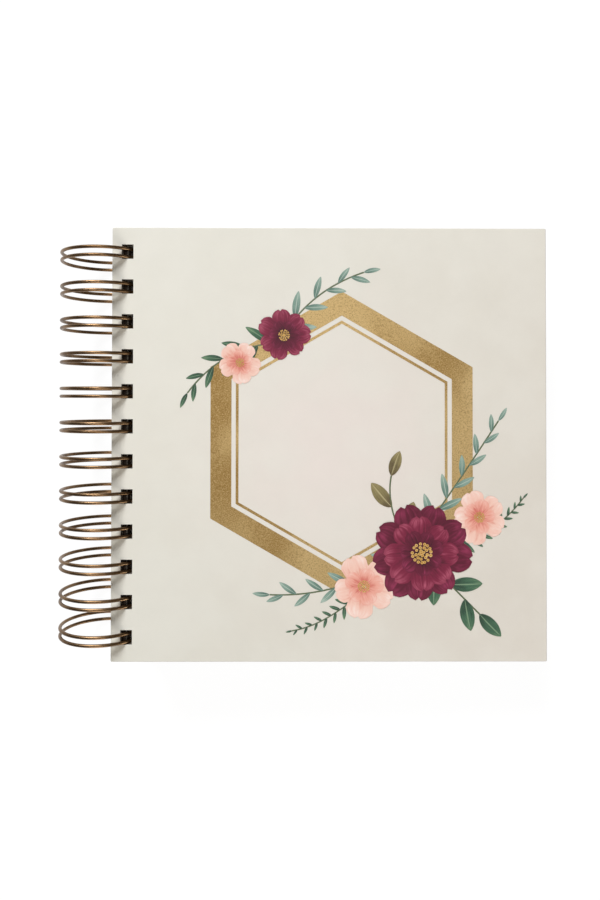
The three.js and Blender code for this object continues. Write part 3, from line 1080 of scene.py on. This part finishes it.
blossom("burgundy_blossom", 29, -40, 0.08,
        [(18, 10.5, 9, burgundy), (13.5, 8.5, 8, wine), (8.5, 6.0, 7, burgundy)], 3.4, 3)
blossom("blush_blossom_1", 8, -52, 0.050, [(11.5, 9.5, 5, blush), (7.0, 6.0, 5, rose)], 1.9, 5)
blossom("blush_blossom_2", 50, -27, 0.052, [(10.0, 8.6, 5, blush), (6.2, 5.2, 5, rose)], 1.7, 8)
blossom("wine_blossom", -21, 39, 0.062, [(9.5, 6.6, 7, wine), (6.0, 4.6, 6, burgundy)], 1.8, 9)
blossom("blush_blossom_3", -37, 29, 0.050, [(8.0, 7.0, 5, blush), (4.8, 4.2, 5, rose)], 1.4, 12)

# Studio. The notebook lies on a seamless white table, lit from beyond the head by one wide softbox
# that stands low. Weaker ones stand beyond the tail, overhead and beside the fore-edge. The camera
# looks down on the cover, a little off square to it.
photo_height = 900
upright_row = 389.3
sensor = 36.0
pixels_per_millimetre = 2.753
camera_to_cover = 256.2
camera_from_axis = (72.3, 16.8)
camera_tilt = [math.radians(angle) for angle in (-0.685, 0.351, -0.085)]
camera_data = bpy.data.cameras.new("camera")
camera_data.sensor_fit = "VERTICAL"
camera_data.sensor_height = sensor
camera_data.lens = camera_to_cover * pixels_per_millimetre / photo_height * sensor
camera_data.shift_y = (upright_row - photo_height / 2) / photo_height
camera_data.clip_start = 0.01
camera = in_scene("camera", camera_data)
into_view = (
    Matrix.Rotation(camera_tilt[2], 4, "Z")
    @ Matrix.Rotation(camera_tilt[1], 4, "Y")
    @ Matrix.Rotation(camera_tilt[0], 4, "X")
)
camera_place = book_frame @ Vector((*camera_from_axis, cover_middle.z + camera_to_cover))
camera.matrix_world = (
    Matrix.Translation(camera_place) @ Matrix.Rotation(lean, 4, "Y") @ into_view.inverted()
)
bpy.context.scene.camera = camera
table_half = 1.5
table_tone = (0.09, 0.09, 0.09, 1)
table_glow = 0.935
sky_light = 0.08
white = (1, 1, 1, 1)


def white_table():
    """A wide table that the camera and reflections see as white, and that keeps the soft shadow."""
    corners = [(x * table_half, y * table_half, 0) for x, y in ((-1, -1), (1, -1), (1, 1), (-1, 1))]
    mesh = bpy.data.meshes.new("table")
    mesh.from_pydata(corners, [], [(0, 1, 2, 3)])
    table = in_scene("table", mesh)
    material, tree, shader, _ = new_finish("white_table", roughness=0.9)
    shader.inputs["Base Color"].default_value = table_tone
    path = add(tree, "ShaderNodeLightPath").outputs
    seen = reckon(tree, "MAXIMUM", path["Is Camera Ray"], path["Is Glossy Ray"])
    seen = reckon(tree, "MAXIMUM", seen, path["Is Transmission Ray"])
    shader.inputs["Emission Color"].default_value = white
    tree.links.new(times(tree, seen, table_glow), shader.inputs["Emission Strength"])
    dress(table, material)


def soft_lamp(name, place, size, power, tone=(1.0, 1.0, 1.0)):
    """A square softbox that faces the notebook."""
    lamp_data = bpy.data.lights.new(name, "AREA")
    lamp_data.shape = "SQUARE"
    lamp_data.size = size
    lamp_data.energy = power
    lamp_data.color = tone
    lamp = in_scene(name, lamp_data)
    lamp.location = place
    lamp.rotation_euler = (-Vector(place)).to_track_quat("-Z", "Y").to_euler()


white_table()
soft_lamp("key_lamp", (-1.4, 3.9, 2.5), 1.8, 270.0, (1.0, 1.033, 1.085))
soft_lamp("tail_lamp", (-0.3, -2.6, 1.25), 1.2, 41.0, (1.0, 0.95, 0.9))
soft_lamp("overhead_lamp", (0.1, 0.1, 1.5), 1.0, 3.1, (1.0, 0.9, 0.78))
soft_lamp("side_lamp", (2.2, -2.2, 0.45), 0.8, 32.0)
world = bpy.data.worlds.new("studio")
bpy.context.scene.world = world
world.use_nodes = True
sky = world.node_tree.nodes["Background"]
sky.inputs["Color"].default_value = white
to_camera = add(world.node_tree, "ShaderNodeLightPath").outputs["Is Camera Ray"]
strength = reckon(world.node_tree, "MAXIMUM", to_camera, sky_light)
world.node_tree.links.new(strength, sky.inputs["Strength"])
bpy.context.scene.view_settings.view_transform = "Standard"
